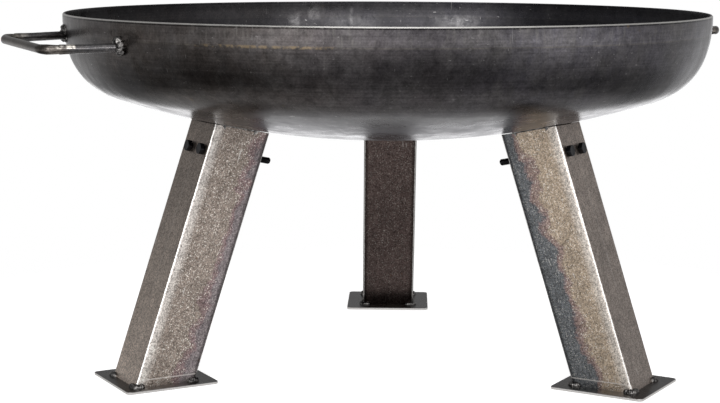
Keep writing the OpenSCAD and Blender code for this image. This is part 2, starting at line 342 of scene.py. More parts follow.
def leg_material(name):
    """Hot-rolled tube: brown faces with painted light and shade, a mill-scale strip by the inner edge,
    corners painted bright as highlights.
    """
    s = Shader("leg_steel_" + name)
    seed = 10.0 * (1 + list(LEGS).index(name))
    outer, side, inner, scaled, shift = LEG_SHADED_TONES[name]
    x, y, z = s.axis(0), s.axis(1), s.axis(2)
    ax, ay = s.math("ABSOLUTE", x), s.math("ABSOLUTE", y)
    on_side = s.math("GREATER_THAN", ay, ax)
    outward = s.math("GREATER_THAN", x, 0.0)
    # painted light and shade: each face takes its own tone
    base = s.mix(on_side, s.mix(outward, inner, outer), side)
    broad = s.noise(9.0, detail=4, rough=0.6, seed=seed + 1)
    blotch = s.noise(60.0, detail=4, rough=0.6, seed=seed + 5)
    speck = s.noise(540.0, detail=4, rough=0.75, seed=seed + 2)
    pepper = s.noise(700.0, detail=2, rough=0.6, seed=seed + 6)
    drawn = s.noise(1.0, detail=4, rough=0.65, stretch=(700, 700, 9), seed=seed + 3)
    # the mill scale has a wandering border and widens downwards
    wander = s.noise(24.0, detail=5, rough=0.65, seed=seed + 4)
    edge = s.math("ADD", x, s.span(wander, 0.3, 0.7, -0.013, 0.013))
    edge = s.math("ADD", edge, s.math("MULTIPLY", z, 0.033))
    edge = s.math("SUBTRACT", edge, shift)
    scale_mask = s.math("MULTIPLY", s.span(edge, -0.001, -0.006), on_side)
    border = s.math("MULTIPLY", s.between(edge, -0.004, 0.002, 0.003), on_side)
    base = s.mix(s.math("MULTIPLY", scale_mask, 0.85), base, scaled)
    base = s.mix(s.math("MULTIPLY", border, 0.60), base, (0.190, 0.120, 0.132))
    # a painted highlight: a soft lighter strip beside the outer corners
    flat = LEG_W / 2 - LEG_CORNER_R
    near = s.math("MINIMUM", ax, ay)
    corner_sheen = s.product(s.span(near, flat - 0.013, flat, 0.0, 0.60, smooth=True), on_side, outward)
    base = s.mix(corner_sheen, base, (0.74, 0.70, 0.66))
    base = s.scale(base, s.span(broad, 0.35, 0.65, 0.90, 1.12))
    base = s.scale(base, s.span(blotch, 0.30, 0.70, 0.85, 1.15))
    base = s.scale(base, s.span(speck, 0.40, 0.60, 0.46, 1.40))
    base = s.scale(base, s.span(drawn, 0.35, 0.65, 0.88, 1.12))
    flecks = s.math("MULTIPLY", s.span(pepper, 0.59, 0.63, 0, 0.95), s.span(blotch, 0.38, 0.55, 0.45, 1.0))
    flecks = s.product(flecks, s.span(on_side, 0, 1, 0.25, 1.0), s.span(scale_mask, 0, 1, 1.0, 0.45))
    base = s.mix(flecks, base, (0.86, 0.81, 0.74))
    base = s.scale(base, s.span(s.noise(600.0, detail=2, seed=seed + 9), 0.30, 0.38, 0.35, 1.0))
    scratch = s.noise(1.0, detail=2, rough=0.5, stretch=(260, 260, 30), seed=seed + 7)
    base = s.mix(s.span(scratch, 0.71, 0.74, 0, 0.15 if name == "back" else 0.5), base, (0.80, 0.77, 0.73))
    rust = s.span(s.cells(85.0, seed=seed), 0.16, 0.05)
    rust = s.math("MULTIPLY", rust, s.span(s.noise(20.0, detail=3, seed=seed + 8), 0.50, 0.62))
    base = s.mix(s.math("MULTIPLY", rust, 0.85), base, (0.10, 0.045, 0.022))
    # painted shade: the inner corners are darkened
    inward = s.math("SUBTRACT", 1.0, outward)
    inner_corner_shade = s.math("MULTIPLY", inward, s.span(near, flat - 0.003, flat))
    base = s.scale(base, s.span(inner_corner_shade, 0, 1, 1.0, 0.45))
    # painted highlight: all four corners are painted bright along a thin line
    corner_highlight = s.math("ADD", near, s.span(speck, 0.3, 0.7, -0.0006, 0.0006))
    corner_highlight = s.between(corner_highlight, flat + 0.0026, flat + 0.0040, 0.0007)
    corner_highlight = s.math("MULTIPLY", corner_highlight, s.span(outward, 0, 1, 0.75, 1.0))
    base = s.mix(s.math("MULTIPLY", corner_highlight, 0.9), base, (0.92, 0.90, 0.87))
    # a bright scribed line above the plate, and a faint lengthwise line on the outer face
    level = s.math("MULTIPLY", x, math.sin(leg_tilt))
    level = s.math("ADD", level, s.math("MULTIPLY", z, math.cos(leg_tilt)))
    scribed = s.product(s.between(level, 0.0112, 0.0119, 0.0006), on_side, 0.50)
    base = s.mix(scribed, base, (0.80, 0.76, 0.72))
    seam = s.product(s.between(y, 0.0020, 0.0026, 0.0006), outward, s.between(z, 0.12, 0.25, 0.03), 0.35)
    base = s.mix(seam, base, (0.55, 0.52, 0.49))
    # painted light and shade from foot to top
    low, high = LEG_LIGHT_FALL[name]
    base = s.scale(base, s.span(z, 0.0, 0.29, low, high))
    s.set(base_color=base)
    rough = s.span(speck, 0.3, 0.7, 0.30, 0.44)
    s.set(roughness=s.blend(corner_highlight, rough, 0.30))
    # painted shade: the back leg's reflections are tinted dark
    if name == "back":
        s.set(specular_tint=(0.22, 0.21, 0.20))
    fine = s.bump(speck, 0.0004, 0.22)
    s.set(normal=s.bump(drawn, 0.0002, 0.10, fine))
    return s.mat


def plate_material():
    s = Shader("plate_steel")
    broad = s.noise(28.0, detail=5, rough=0.65, seed=21)
    speck = s.noise(430.0, detail=4, rough=0.7, seed=22)
    base = s.mix(s.span(broad, 0.35, 0.65), (0.040, 0.037, 0.035), (0.11, 0.10, 0.095))
    base = s.scale(base, s.span(speck, 0.36, 0.62, 0.5, 1.5))
    s.set(base_color=base, roughness=s.span(broad, 0.3, 0.7, 0.22, 0.34), normal=s.bump(speck, 0.0003, 0.2))
    return s.mat


def cut_material():
    s = Shader("plate_cut_edge")
    lines = s.noise(1.0, detail=3, stretch=(900, 900, 90), seed=24)
    s.set(base_color=s.mix(lines, (0.55, 0.53, 0.51), (0.88, 0.86, 0.84)))
    s.set(roughness=0.36, normal=s.bump(lines, 0.0003, 0.3))
    return s.mat


def rod_material():
    s = Shader("rod_steel")
    broad = s.noise(38.0, detail=5, rough=0.65, seed=31)
    speck = s.noise(500.0, detail=3, rough=0.7, seed=32)
    drawn = s.noise(1.0, detail=3, rough=0.6, stretch=(160, 12, 160), seed=33)
    base = s.mix(s.span(broad, 0.35, 0.65), (0.084, 0.074, 0.067), (0.190, 0.171, 0.155))
    base = s.scale(base, s.span(drawn, 0.35, 0.65, 0.62, 1.25))
    # the straight arms are smoother and bluer than the grip
    x, y, z = s.axis(0), s.axis(1), s.axis(2)
    arm = s.span(x, 0.452, 0.440)
    base = s.mix(s.math("MULTIPLY", arm, 0.55), base, (0.085, 0.089, 0.100))
    # painted highlight on the flats hammered where it was bent, on the rod's top and mostly on one arm
    fainter = s.math("MULTIPLY", s.between(x, 0.4515, 0.4560, 0.003), 0.50)
    hammered_highlight = s.math("MAXIMUM", s.between(x, 0.4385, 0.4460, 0.002), fainter)
    on_top, one_arm = s.span(z, 0.0005, 0.0020), s.span(y, -0.01, 0.01, 0.30, 1.0)
    ragged = s.span(s.noise(190.0, detail=3, seed=34), 0.36, 0.52)
    hammered_highlight = s.product(hammered_highlight, on_top, one_arm, ragged, 0.9)
    base = s.mix(hammered_highlight, base, (0.85, 0.80, 0.72))
    base = s.scale(base, s.span(speck, 0.36, 0.62, 0.7, 1.3))
    s.set(base_color=base, roughness=s.span(broad, 0.3, 0.7, 0.18, 0.30), normal=s.bump(speck, 0.0003, 0.15))
    return s.mat


def weld_material(name="weld_metal", carried=False):
    s = Shader(name, carried=carried)
    broad = s.noise(260.0, detail=3, rough=0.6, seed=41)
    base = s.mix(s.span(broad, 0.38, 0.62), (0.022, 0.021, 0.021), (0.26, 0.25, 0.24))
    s.set(base_color=base, roughness=s.span(broad, 0.3, 0.7, 0.16, 0.32), normal=s.bump(broad, 0.0006, 0.4))
    return s.mat


def black_material(name, low, high, seed, carried=False):
    s = Shader(name, carried=carried)
    broad = s.noise(260.0, detail=3, rough=0.6, seed=seed)
    s.set(base_color=s.mix(broad, low, high), roughness=s.span(broad, 0.3, 0.7, 0.30, 0.42))
    s.set(normal=s.bump(broad, 0.0002, 0.2))
    return s.mat


bowl_steel = bowl_material("bowl_steel", False)
bowl_inside = bowl_material("bowl_steel_inside", True)
rim_ground = rim_material()
plate_steel = plate_material()
plate_cut = cut_material()
rod_steel = rod_material()
weld_metal = weld_material()
weld_carried = weld_material("weld_metal_sockets", True)
bolt_black = black_material("bolt_steel", (0.014, 0.014, 0.016), (0.040, 0.040, 0.043), 51)
nut_dark = black_material("nut_steel", (0.05, 0.05, 0.052), (0.12, 0.12, 0.12), 52, True)
socket_dark = black_material("socket_steel", (0.06, 0.057, 0.054), (0.13, 0.12, 0.115), 53, True)
leg_steels = {name: leg_material(name) for name in LEGS}


# ---------------------------------------------------------------- mesh helpers
def make_object(name, verts, faces, materials, matrix=None, smooth=True, face_material=None):
    mesh = bpy.data.meshes.new(name)
    mesh.from_pydata([tuple(v) for v in verts], [], [tuple(f) for f in faces])
    mesh.validate()
    for m in materials:
        mesh.materials.append(m)
    mesh.polygons.foreach_set("use_smooth", [smooth] * len(mesh.polygons))
    if face_material is not None:
        mesh.polygons.foreach_set("material_index", face_material)
    mesh.update()
    obj = bpy.data.objects.new(name, mesh)
    bpy.context.scene.collection.objects.link(obj)
    if matrix is not None:
        obj.matrix_world = matrix
    return obj


def settle(obj, slot, *nodes):
    """A finished piece: it rides on the one body and stands for its CAD nodes; the slot it is given is not
    used.
    Its place in its own frame is kept for the materials, and its mesh goes to the row frame."""
    mesh = obj.data
    own = np.zeros(len(mesh.vertices) * 3, np.float32)
    mesh.vertices.foreach_get("co", own)
    mesh.attributes.new("place", "FLOAT_VECTOR", "POINT").data.foreach_set("vector", own)
    mesh.transform(obj.matrix_world)
    obj.matrix_world = Matrix.Identity(4)
    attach(obj, "root")
    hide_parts(*nodes)
    return obj


def turn(axis, degrees):
    return Matrix.Rotation(math.radians(degrees), 4, axis)


# ---------------------------------------------------------------- bowl
def bowl_side(inset):
    """The section from under the flange to the axis, with each point's outward normal."""
    points = []
    arcs = [
        (shoulder_c, SHOULDER_R, 0.0, -CROWN_ANGLE, 24),
        (knuckle_c, KNUCKLE_R, -CROWN_ANGLE, CROWN_ANGLE - math.pi / 2, 52),
        (crown_c, crown_r, CROWN_ANGLE - math.pi / 2, -math.pi / 2, 60),
    ]
    for k, (centre, radius, start, end, steps) in enumerate(arcs):
        for i in range(1 if k else 0, steps + 1):
            a = start + (end - start) * i / steps
            points.append((*(centre + (radius - inset) * heading(a)), *heading(a)))
    return points


def build_bowl():
    segments = BOWL_SEGMENTS
    outer = [(BOWL_R, RIM_Z - BEVEL_H, 1, 0)] + bowl_side(0)[:-1]
    inner = bowl_side(SHEET_T)[:-1]
    inner = inner[::-1] + [(BOWL_R - SHEET_T, RIM_Z - 0.0012, 1, 0), (BOWL_R - SHEET_T + 0.0001, RIM_Z, 1, 0)]
    top = [(BOWL_R - BEVEL_W, RIM_Z, 1, 0)]
    rows = top + outer
    n_outer = len(rows)
    rows = rows + inner
    verts, faces, mats = [], [], []
    for j, (r, z, nr, nz) in enumerate(rows):
        steep = max(0.0, min(1.0, (RIM_Z - 0.016 - z) / 0.03))
        low = max(0.0, min(1.0, (r - 0.16) / 0.08))
        for i in range(segments):
            a = 2 * math.pi * i / segments
            c, sn = math.cos(a), math.sin(a)
            p = Vector((r * c, r * sn, z))
            wave = noise.noise(p * 9.0) * 0.00035
            rumple = noise.noise(p * 55.0 + Vector((7, 3, 1))) * 0.00010 + noise.noise(p * 24.0) * 0.00022
            d = steep * (wave + rumple * low)
            verts.append((p.x + nr * c * d, p.y + nr * sn * d, z + nz * d))
    count = len(rows)
    for j in range(count - 1):
        if j == n_outer - 1:
            continue
        for i in range(segments):
            k = (i + 1) % segments
            faces.append((j * segments + i, (j + 1) * segments + i, (j + 1) * segments + k, j * segments + k))
            mats.append(1 if j == 0 else 2 * (j >= n_outer))
    # the rim's flat top joins the last inner row to the first outer one
    for i in range(segments):
        k = (i + 1) % segments
        faces.append(((count - 1) * segments + i, i, k, (count - 1) * segments + k))
        mats.append(0)
    # both poles
    bottom = crown_c[1] - crown_r
    for row, z, flip in ((n_outer - 1, bottom, False), (n_outer, bottom + SHEET_T, True)):
        pole = len(verts)
        verts.append((0, 0, z))
        for i in range(segments):
            k = (i + 1) % segments
            a, b = row * segments + i, row * segments + k
            faces.append((b, a, pole) if flip else (a, pole, b))
            mats.append(2 * flip)
    obj = make_object("bowl_dish", verts, faces, [bowl_steel, rim_ground, bowl_inside], face_material=mats)
    mesh = obj.data
    bm = bmesh.new()
    bm.from_mesh(mesh)
    bmesh.ops.recalc_face_normals(bm, faces=bm.faces)
    for e in bm.edges:
        if len(e.link_faces) == 2 and e.calc_face_angle(0) > math.radians(18):
            e.smooth = False
    bm.to_mesh(mesh)
    bm.free()
    return settle(obj, "bowl_steel", "bowl")


# ---------------------------------------------------------------- handles
grip_r = BOWL_R + HANDLE_REACH
bend_angle = math.pi / 2 - ARM_SPLAY
grip_straight = GRIP_W / 2 - BEND_R * math.tan(bend_angle / 2)
arm_slope = math.tan(ARM_SPLAY)
arm_at_axis = GRIP_W / 2 + grip_r * arm_slope
arm_root = (arm_at_axis * arm_slope) ** 2 - (1 + arm_slope**2) * (arm_at_axis**2 - BOWL_R**2)
arm_wall_x = (arm_at_axis * arm_slope + math.sqrt(arm_root)) / (1 + arm_slope**2)
arm_wall_y = arm_at_axis - arm_wall_x * arm_slope


def handle_matrix(side):
    azimuth, tilt = HANDLES[side]
    m = turn("Z", azimuth) @ Matrix.Translation((0, 0, RIM_Z - HANDLE_DROP)) @ turn("X", tilt)
    out, back = Matrix.Translation((BOWL_R, 0, 0)), Matrix.Translation((-BOWL_R, 0, 0))
    return m @ out @ turn("Y", HANDLE_DROOP) @ back


def handle_path():
    """Half of the rod's centreline, from the grip's middle to inside the bowl's wall."""
    half = []
    for i in range(14):
        half.append((grip_r, grip_straight * i / 14, 0.0))
    for i in range(25):
        a = bend_angle * i / 24
        half.append((grip_r - BEND_R + BEND_R * math.cos(a), grip_straight + BEND_R * math.sin(a), a))
    x0, y0, _ = half[-1]
    reach = (half[-1][0] - arm_wall_x) / math.sin(bend_angle) - 0.004
    for i in range(1, 31):
        t = reach * i / 30
        half.append((x0 - t * math.sin(bend_angle), y0 + t * math.cos(bend_angle), bend_angle))
    x0, y0, _ = half[-1]
    half.append((x0 - 0.001 * math.sin(bend_angle), y0 + 0.001 * math.cos(bend_angle), bend_angle))
    return [(x, -y, -a) for x, y, a in half[:0:-1]] + half


def build_handle(side):
    sides = 40
    path = handle_path()
    verts, faces = [], []
    matrix = handle_matrix(side)
    keep = []
    for x, y, a in path:
        # where the rod was bent it is hammered a little flat
        mid = abs(abs(a) - bend_angle / 2) / (bend_angle / 2)
        flat = max(0.0, 1 - mid) * 0.14
        t = abs(y) - grip_straight
        if t > 0 and abs(a) >= bend_angle - 1e-6:
            flat = 0.12 * max(0.0, 1 - (grip_r - x - 0.017) / 0.022)
        ring = []
        for k in range(sides):
            b = 2 * math.pi * k / sides
            out = ROD_R * math.cos(b) * (1 - flat * 0.6)
            up = ROD_R * math.sin(b) * (1 + flat)
            p = Vector((x + out * math.cos(a), y + out * math.sin(a), up))
            d = noise.noise(p * 120.0) * 0.00008 + noise.noise(p * 420.0) * 0.00004
            ring.append(p + d * Vector((math.cos(b) * math.cos(a), math.cos(b) * math.sin(a), math.sin(b))))
        keep.append(ring)
    # both ends stop inside the bowl's sheet, cut to its curve
    for ring, last in ((keep[0], keep[1]), (keep[-1], keep[-2])):
        for i, p in enumerate(ring):
            step = (p - last[i]).normalized() * 0.0002
            p = last[i].copy()
            while (matrix @ p).to_2d().length > WALL_END_R:
                p += step
            ring[i] = p
    for ring in keep:
        verts.extend(ring)
    count = len(keep)
    for j in range(count - 1):
        for k in range(sides):
            n = (k + 1) % sides
            faces.append((j * sides + k, j * sides + n, (j + 1) * sides + n, (j + 1) * sides + k))
    faces.append(tuple(range(sides - 1, -1, -1)))
    faces.append(tuple((count - 1) * sides + k for k in range(sides)))
    obj = make_object("handle_rod_" + side, verts, faces, [rod_steel], matrix)
    return settle(obj, "rod_steel", "handle_" + side)


def bead_mesh(start, end, radius, seed, ripple=0.0022, depth=0.10):
    """A short weld bead from start to end: a rounded run with ripples and lumps."""
    start, end = Vector(start), Vector(end)
    along = end - start
    length = along.length
    along.normalize()
    side = along.orthogonal().normalized()
    other = along.cross(side)
    rows, columns = 30, 32
    total = length + 2 * radius
    verts = []
    for j in range(rows + 1):
        u = -radius + total * j / rows
        over = -u if u < 0 else max(0.0, u - length)
        r = math.sqrt(max(0.0, radius**2 - over**2))
        wave = 1 + depth * (abs(math.sin(math.pi * (u / ripple + seed * 0.37))) - 0.6) * (r > radius * 0.5)
        for k in range(columns):
            a = 2 * math.pi * k / columns
            p = start + along * u + (side * math.cos(a) + other * math.sin(a)) * (r * wave)
            lump = 1 + 0.16 * noise.noise(p * 330.0 + Vector((seed, 0, 0)))
            centre = start + along * min(max(u, 0), length)
            verts.append(centre + (p - centre) * lump)
    faces = []
    for j in range(rows):
        for k in range(columns):
            n = (k + 1) % columns
            faces.append((j * columns + k, j * columns + n, (j + 1) * columns + n, (j + 1) * columns + k))
    return verts, faces


def join_beads(name, beads, matrix, slot, node, limit):
    """The beads as one piece. limit moves a point that would come out on the sheet's far side."""
    verts, faces = [], []
    back = matrix.inverted()
    for i, (start, end, radius) in enumerate(beads):
        v, f = bead_mesh(start, end, radius, i * 1.7 + len(name))
        v = [back @ limit(matrix @ p) for p in v]
        faces += [tuple(q + len(verts) for q in face) for face in f]
        verts += v
    obj = make_object(name, verts, faces, [weld_metal], matrix)
    bm = bmesh.new()
    bm.from_mesh(obj.data)
    bmesh.ops.remove_doubles(bm, verts=bm.verts, dist=1e-6)
    bmesh.ops.dissolve_degenerate(bm, edges=bm.edges, dist=1e-7)
    bmesh.ops.recalc_face_normals(bm, faces=bm.faces)
    for f in bm.faces:
        f.smooth = True
    bm.to_mesh(obj.data)
    bm.free()
    return settle(obj, slot, node)


def build_handle_welds(side):
    beads = []
    for s in (1, -1):
        def at(x, y, z):
            return (arm_wall_x + x / 1000, s * (arm_wall_y + y / 1000), z / 1000)
        beads.append((at(-2.5, -5, 6.5), at(-2, 0, 7), 0.0062))
        beads.append((at(-2, 5, 2), at(-2, 4.5, -3), 0.0058))
        beads.append((at(-2.5, -4, -4), at(-2.5, 0, -5.5), 0.0030))

    def limit(p):
        r = math.hypot(p.x, p.y)
        grow = max(1.0, WALL_END_R / r + 0.0002 * (r < WALL_END_R))
        return Vector((p.x * grow, p.y * grow, p.z))

    matrix = handle_matrix(side)
    join_beads("handle_beads_" + side, beads, matrix, "weld_metal", "handle_welds_" + side, limit)


# ---------------------------------------------------------------- legs
def leg_matrix(name):
    aside = SEAT_R * math.sin(math.radians(SEAT_TURN[name]))
    sway = math.atan2(aside, math.hypot(FOOT_R - SEAT_R, seat_z))
    m = turn("Z", LEGS[name]) @ Matrix.Translation((FOOT_R, 0, 0)) @ Matrix.Rotation(-leg_tilt, 4, "Y")
    return m @ Matrix.Rotation(-sway, 4, "X") @ turn("Z", LEG_TWIST[name])


def seat_matrix(name, angle):
    seat = Matrix.Translation((SEAT_R, 0, seat_z)) @ Matrix.Rotation(-angle, 4, "Y")
    return turn("Z", LEGS[name] + SEAT_TURN[name]) @ seat @ turn("Z", LEG_TWIST[name] - SEAT_TURN[name])


def socket_matrix(name):
    return seat_matrix(name, socket_angle)


def rounded_square(half, r, steps):
    points = []
    for q in range(4):
        cx = (half - r) * (1 if q in (0, 3) else -1)
        cy = (half - r) * (1 if q in (0, 1) else -1)
        for i in range(steps + 1):
            a = math.pi / 2 * (q + i / steps)
            points.append((cx + r * math.cos(a), cy + r * math.sin(a)))
    return points


def divided(points, steps):
    """A rounded square's outline with its four straight sides cut into short lengths."""
    result = []
    for i, (x, y) in enumerate(points):
        result.append((x, y))
        if i % (steps + 1) == steps:
            nx, ny = points[(i + 1) % len(points)]
            result += [(x + (nx - x) * k / 16, y + (ny - y) * k / 16) for k in range(1, 16)]
    return result


def cut_with(obj, cutters):
    """Cuts the cutter meshes out of obj and leaves plain mesh data."""
    for cutter in cutters:
        modifier = obj.modifiers.new("cut", "BOOLEAN")
        modifier.operation = "DIFFERENCE"
        modifier.solver = "EXACT"
        modifier.object = cutter
    bpy.context.view_layer.update()
    evaluated = obj.evaluated_get(bpy.context.evaluated_depsgraph_get())
    mesh = bpy.data.meshes.new_from_object(evaluated)
    obj.modifiers.clear()
    old = obj.data
    obj.data = mesh
    bpy.data.meshes.remove(old)
    for cutter in cutters:
        bpy.data.objects.remove(cutter)


def cylinder(r, length, matrix, sides=32):
    angles = [2 * math.pi * k / sides for k in range(sides)]
    verts = [(r * math.cos(a), r * math.sin(a), h) for h in (0, length) for a in angles]
    faces = [(k, (k + 1) % sides, sides + (k + 1) % sides, sides + k) for k in range(sides)]
    faces += [tuple(range(sides - 1, -1, -1)), tuple(range(sides, 2 * sides))]
    return make_object("cutter", verts, faces, [], matrix)


def under_bowl(p):
    """How far p lies straight below the bowl's outer surface."""
    r = math.hypot(p.x, p.y)
    if r < crown_r * math.sin(CROWN_ANGLE):
        return crown_c[1] - math.sqrt(crown_r**2 - r**2) - p.z
    return knuckle_c[1] - math.sqrt(max(0.0, KNUCKLE_R**2 - (r - knuckle_c[0]) ** 2)) - p.z


def build_leg(name):
    matrix = leg_matrix(name)
    steps = 10
    outer = divided(rounded_square(LEG_W / 2, LEG_CORNER_R, steps), steps)
    inner = divided(rounded_square(LEG_W / 2 - LEG_T, LEG_CORNER_R - LEG_T / 2, steps), steps)
    # both end planes in the leg's own frame
    to_local = matrix.inverted()
    seat = seat_matrix(name, seat_angle)
    seat_n = seat.to_3x3() @ Vector((0, 0, 1))
    seat_p = seat @ Vector((0, 0, -SEAT_GAP))
    ends = []
    for p, n in ((Vector((0, 0, PLATE_T)), Vector((0, 0, 1))), (seat_p, seat_n)):
        ends.append((to_local @ p, to_local.to_3x3() @ n))

    def height(x, y, end):
        p, n = end
        level = p.z - ((x - p.x) * n.x + (y - p.y) * n.y) / n.z
        while end is ends[1] and under_bowl(matrix @ Vector((x, y, level))) > TOP_GAP:
            level += 0.0001
        return level

    rows = 24
    verts, faces = [], []
    for profile in (outer, inner):
        for j in range(rows + 1):
            for x, y in profile:
                low, high = height(x, y, ends[0]), height(x, y, ends[1])
                verts.append((x, y, low + (high - low) * j / rows))
    n = len(outer)
    block = (rows + 1) * n
    for j in range(rows):
        for k in range(n):
            m = (k + 1) % n
            faces.append((j * n + k, j * n + m, (j + 1) * n + m, (j + 1) * n + k))
            low, high = block + j * n, block + (j + 1) * n
            faces.append((low + k, high + k, high + m, low + m))
    for k in range(n):
        m = (k + 1) % n
        faces.append((k, block + k, block + m, m))
        t = rows * n
        faces.append((t + k, t + m, block + t + m, block + t + k))
    obj = make_object("leg_tube_" + name, verts, faces, [leg_steels[name]], matrix)
    through = BOLT_LEN[name] > LEG_W
    cutters = []
    for k in (-0.5, 0.5):
        y = BOLT_SHIFT[name] + k * BOLT_GAP[name]
        place = socket_matrix(name) @ Matrix.Translation((LEG_W, y, -BOLT_DROP)) @ turn("Y", -90)
        cutters.append(cylinder(HOLE_R, 2 * LEG_W if through else LEG_W, place))
    cut_with(obj, cutters)
    # exact normals: flat faces stay flat, and the corners round off smoothly
    mesh = obj.data
    normals = []
    h = LEG_W / 2 - LEG_CORNER_R
    for poly in mesh.polygons:
        poly.use_smooth = True
        fn = poly.normal
        corner = abs(fn.z) < 0.02 and abs(fn.x) > 0.02 and abs(fn.y) > 0.02 and abs(fn.x) + abs(fn.y) > 1.02
        for li in poly.loop_indices:
            co = mesh.vertices[mesh.loops[li].vertex_index].co
            if corner:
                v = Vector((co.x - math.copysign(h, co.x), co.y - math.copysign(h, co.y), 0)).normalized()
                normals.append(v if v.dot(fn) > 0 else -v)
            else:
                normals.append(fn.copy())
    mesh.normals_split_custom_set(normals)
    return settle(obj, "leg_steel", "leg_" + name)


def build_foot(name):
    edge = 0.0004
    steps = 10
    rings = [
        (PLATE_W / 2 - edge, 0.0),
        (PLATE_W / 2, edge),
        (PLATE_W / 2, PLATE_T - edge),
        (PLATE_W / 2 - edge, PLATE_T),
    ]
    verts = []
    for half, z in rings:
        verts += [(x, y, z) for x, y in rounded_square(half, PLATE_CORNER_R - (PLATE_W / 2 - half), steps)]
    n = 4 * (steps + 1)
    faces, mats = [], []
    for j in range(3):
        for k in range(n):
            m = (k + 1) % n
            faces.append((j * n + k, j * n + m, (j + 1) * n + m, (j + 1) * n + k))
            mats.append(1)
    faces.append(tuple(range(n - 1, -1, -1)))
    faces.append(tuple(range(3 * n, 4 * n)))
    mats += [0, 0]
    place = Matrix.Translation((PLATE_R[name], PLATE_SIDE[name], 0))
    matrix = turn("Z", LEGS[name]) @ place @ turn("Z", PLATE_TURN[name])
    materials = [plate_steel, plate_cut]
    obj = make_object("foot_" + name, verts, faces, materials, matrix, smooth=False, face_material=mats)
    return settle(obj, "plate_steel", "foot_plate_" + name)


def build_foot_welds(name):
    half_x = LEG_W / 2 / math.cos(leg_tilt)
    half_y = LEG_W / 2
    foot_x = FOOT_R - PLATE_T * math.tan(leg_tilt)
    beads = []
    for x in (-1, 1):
        for y in (-1, 1):
            for ax, ay in ((1, 0), (0, 1)):
                def at(d):
                    return (x * (half_x - d * ax), y * (half_y - d * ay), PLATE_T)
                beads.append((at(0.001), at(0.0075), 0.0045))
    matrix = turn("Z", LEGS[name]) @ Matrix.Translation((foot_x, 0, 0)) @ turn("Z", LEG_TWIST[name])

    def limit(p):
        return Vector((p.x, p.y, max(p.z, 0.0008 + 0.1 * min(p.z, 0.004))))

    join_beads("foot_beads_" + name, beads, matrix, "weld_metal", "foot_welds_" + name, limit)


# ---------------------------------------------------------------- bolts
def build_bolt(name, k):
    side = BOLT_SHIFT[name] + (k - 0.5) * BOLT_GAP[name]
    length = BOLT_LEN[name]
    sides = 72
    verts, faces = [], []

    def ring(points):
        start = len(verts)
        verts.extend(points)
        return start

    def strip(a, b, count=sides):
        for i in range(count):
            m = (i + 1) % count
            faces.append((a + i, a + m, b + m, b + i))

    def circle(r, z):
        return ring([(r * math.cos(a), r * math.sin(a), z) for a in angles])

    # the head, along +Z from its bearing face: a hexagon under a cone
    top_r = HEX_AF / 2 * 0.94
    slope = math.tan(math.radians(30))
    angles = [2 * math.pi * i / sides for i in range(sides)]
    hexagon = [HEX_AF / 2 / math.cos((a + math.pi / 6) % (math.pi / 3) - math.pi / 6) for a in angles]
    hexagon = [min(r, HEX_AF / 2 / math.cos(math.pi / 6) - 0.00025) for r in hexagon]
    heights = [HEAD_H - max(0, r - top_r) * slope for r in hexagon]
    under = circle(WASHER_R, 0.0)
    washer = circle(WASHER_EDGE_R, WASHER_H)
    base = ring([(r * math.cos(a), r * math.sin(a), WASHER_H) for a, r in zip(angles, hexagon)])
    edge = ring([(r * math.cos(a), r * math.sin(a), z) for a, r, z in zip(angles, hexagon, heights)])
    top = circle(top_r, HEAD_H)
    inset = circle(top_r * 0.5, HEAD_H - 0.0001)
    for a, b in ((under, washer), (washer, base), (base, edge), (edge, top), (top, inset)):
        strip(a, b)
    faces.append(tuple(inset + i for i in range(sides)))
    # the shank, with a rolled thread on its last stretch
    plain = length - THREAD_L
    columns = 36
    stations = [0.0, -plain * 0.5, -plain]
    fine = int((length - plain) / (THREAD_PITCH / 8))
    stations += [-plain - (length - plain) * (i + 1) / fine for i in range(fine)]
    rows = []
    for z in stations:
        points = []
        for i in range(columns):
            a = 2 * math.pi * i / columns
            r = BOLT_R
            if z < -plain - 0.0005:
                phase = (-z / THREAD_PITCH - i / columns) % 1.0
                r -= THREAD_DEPTH * abs(2 * phase - 1)
            r -= max(0.0, -z - (length - BOLT_TIP)) * 0.9
            points.append((r * math.cos(a), r * math.sin(a), z))
        rows.append(ring(points))
    for a, b in zip(rows, rows[1:]):
        strip(b, a, columns)
    faces.append(tuple(rows[-1] + i for i in range(columns - 1, -1, -1)))
    # close the head's underside round the shank
    hub = len(verts)
    verts.append((0, 0, 0.0))
    for i in range(sides):
        faces.append((under + (i + 1) % sides, under + i, hub))
    place = socket_matrix(name) @ Matrix.Translation((head_x, side, -BOLT_DROP)) @ turn("Y", 90)
    obj = make_object("hex_bolt_%s_%s" % (name, "ab"[k]), verts, faces, [bolt_black], place)
    bm = bmesh.new()
    bm.from_mesh(obj.data)
    for e in bm.edges:
        if len(e.link_faces) != 2 or e.calc_face_angle(0) > math.radians(20):
            e.smooth = False
    bm.to_mesh(obj.data)
    bm.free()
    return settle(obj, "bolt_steel", "bolt_%s_%s" % (name, "ab"[k]))


build_bowl()
for side in HANDLES:
    build_handle(side)
    build_handle_welds(side)
for name in LEGS:
    build_leg(name)
    build_foot(name)
    build_foot_welds(name)
    for k in (0, 1):
        build_bolt(name, k)
        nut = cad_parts["nut_%s_%s" % (name, "ab"[k])]
        nut.data.materials.clear()
        nut.data.materials.append(nut_dark)
    for prefix, material in (("socket_", socket_dark), ("socket_weld_", weld_carried)):
        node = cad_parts[prefix + name]
        node.data.materials.clear()
        node.data.materials.append(material)

# ---------------------------------------------------------------- stage, light and camera
FLOOR_R = 0.80
MIRRORED_R = 0.66
FLOOR_LIFT = 0.80  # how much the floor that the camera sees glows, which makes it white
FLOOR_MIRRORED = 0.68  # brightness of the disc that only reflections see


def disc(name, radius, z, material):
    verts, faces, sides = [(0, 0, 0)], [], 96
    for k in range(sides):
        a = 2 * math.pi * k / sides
        verts.append((radius * math.cos(a), radius * math.sin(a), 0))
        faces.append((0, k + 1, (k + 1) % sides + 1))
    obj = make_object(name, verts, faces, [material])
    obj.location.z = z
    return obj


